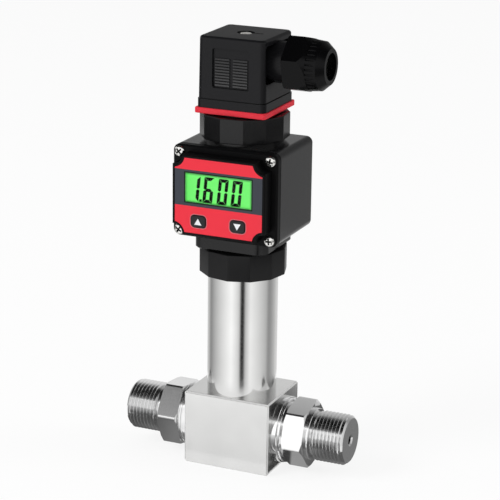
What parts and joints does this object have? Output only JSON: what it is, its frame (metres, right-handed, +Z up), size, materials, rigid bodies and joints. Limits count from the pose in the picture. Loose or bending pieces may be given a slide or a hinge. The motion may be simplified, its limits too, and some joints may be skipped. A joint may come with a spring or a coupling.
{
  "type": "pressure transmitter",
  "caption": "Pressure transmitter with a steel manifold block and threaded side ports, a display head with push keys, and a plug connector with a cable gland on top.",
  "frame": {"origin": "centre of the manifold block's flat bottom face, under the sensor tube's axis", "axes": "+Z up along the sensor tube, +X towards the right-hand port and the cable gland, -Y towards the front of the display"},
  "size_m": [0.0936, 0.0417, 0.1733],
  "materials": {
    "stainless_steel": "ground and turned stainless steel",
    "cell_steel": "turned steel",
    "gold_pin": "plated pins",
    "seal_rubber": "black sealing rubber",
    "nylon_white": "natural nylon",
    "circuit_board": "green board lacquer",
    "chip_plastic": "moulded chip resin",
    "lead_sheath": "sleeved leads",
    "black_nylon": "black moulded plastic with a satin sheen",
    "faceplate_print": "printed red and slate film",
    "clear_pane": "clear acrylic",
    "lcd_green": "green lit display glass",
    "key_plastic": "black key plastic",
    "contact_nylon": "black glass-filled nylon",
    "brass": "tinned brass",
    "red_silicone": "red silicone rubber",
    "connector_nylon": "black glass-filled nylon",
    "bright_screw": "bright nickel plate"
  },
  "bodies": {
    "transmitter_body": {"manifold_block": "stainless_steel", "port_fitting_left": "stainless_steel", "port_fitting_right": "stainless_steel", "pressure_cell": "cell_steel", "cell_pins": "gold_pin", "cell_ring_left": "seal_rubber", "cell_ring_right": "seal_rubber", "sensor_tube": "stainless_steel", "board_holder": "nylon_white", "amplifier_board": "circuit_board", "board_chips": "chip_plastic", "cell_leads": "lead_sheath"},
    "coupling_nut": {"coupling_nut": "black_nylon"},
    "display_head": {"display_housing": "black_nylon", "stub_ring": "seal_rubber", "retaining_ring": "cell_steel", "cover_gasket": "seal_rubber", "front_cover": "black_nylon", "faceplate": "faceplate_print", "lcd_window": "clear_pane", "lcd_module": "lcd_green", "display_board": "circuit_board", "key_switch_up": "chip_plastic", "key_switch_down": "chip_plastic", "cover_screw_1": "bright_screw", "cover_screw_2": "bright_screw", "cover_screw_3": "bright_screw", "cover_screw_4": "bright_screw", "head_leads": "lead_sheath", "contact_base": "contact_nylon", "screw_insert": "brass", "blade_line": "brass", "blade_load": "brass", "blade_spare": "brass", "blade_earth": "brass"},
    "contact_nut": {"contact_nut": "black_nylon"},
    "button_up": {"button_up": "key_plastic"},
    "button_down": {"button_down": "key_plastic"},
    "connector": {"profile_gasket": "red_silicone", "connector_housing": "connector_nylon", "terminal_block": "contact_nylon", "terminal_screw_1": "bright_screw", "terminal_screw_2": "bright_screw", "terminal_screw_3": "bright_screw", "terminal_screw_4": "bright_screw", "gland_seal": "seal_rubber", "gland_thrust_ring": "nylon_white"},
    "fixing_screw": {"fixing_screw": "bright_screw"},
    "gland_nut": {"gland_nut": "connector_nylon"}
  },
  "joints": [
    {"name": "coupling_nut_turn", "type": "hinge", "parent": "transmitter_body", "child": "coupling_nut", "pos_m": [0, 0, 0.084], "axis": [0, 0, 1], "continuous": true},
    {"name": "head_swivel", "type": "hinge", "parent": "transmitter_body", "child": "display_head", "pos_m": [0, 0, 0.084], "axis": [0, 0, 1], "range_deg": [-165, 165]},
    {"name": "contact_nut_turn", "type": "hinge", "parent": "display_head", "child": "contact_nut", "pos_m": [0, 0, 0.137], "axis": [0, 0, 1], "continuous": true},
    {"name": "button_up_press", "type": "slide", "parent": "display_head", "child": "button_up", "axis": [0, 1, 0], "range_m": [0, 0.0005], "stiffness_N_per_m": 600},
    {"name": "button_down_press", "type": "slide", "parent": "display_head", "child": "button_down", "axis": [0, 1, 0], "range_m": [0, 0.0005], "stiffness_N_per_m": 600},
    {"name": "connector_lift", "type": "slide", "parent": "display_head", "child": "connector", "axis": [0, 0, 1], "range_m": [0, 0.02]},
    {"name": "fixing_screw_turn", "type": "hinge", "parent": "connector", "child": "fixing_screw", "pos_m": [0, 0, 0.17], "axis": [0, 0, 1], "continuous": true},
    {"name": "gland_nut_turn", "type": "hinge", "parent": "connector", "child": "gland_nut", "pos_m": [0.025, 0, 0.1623], "axis": [1, 0, 0], "continuous": true}
  ]
}
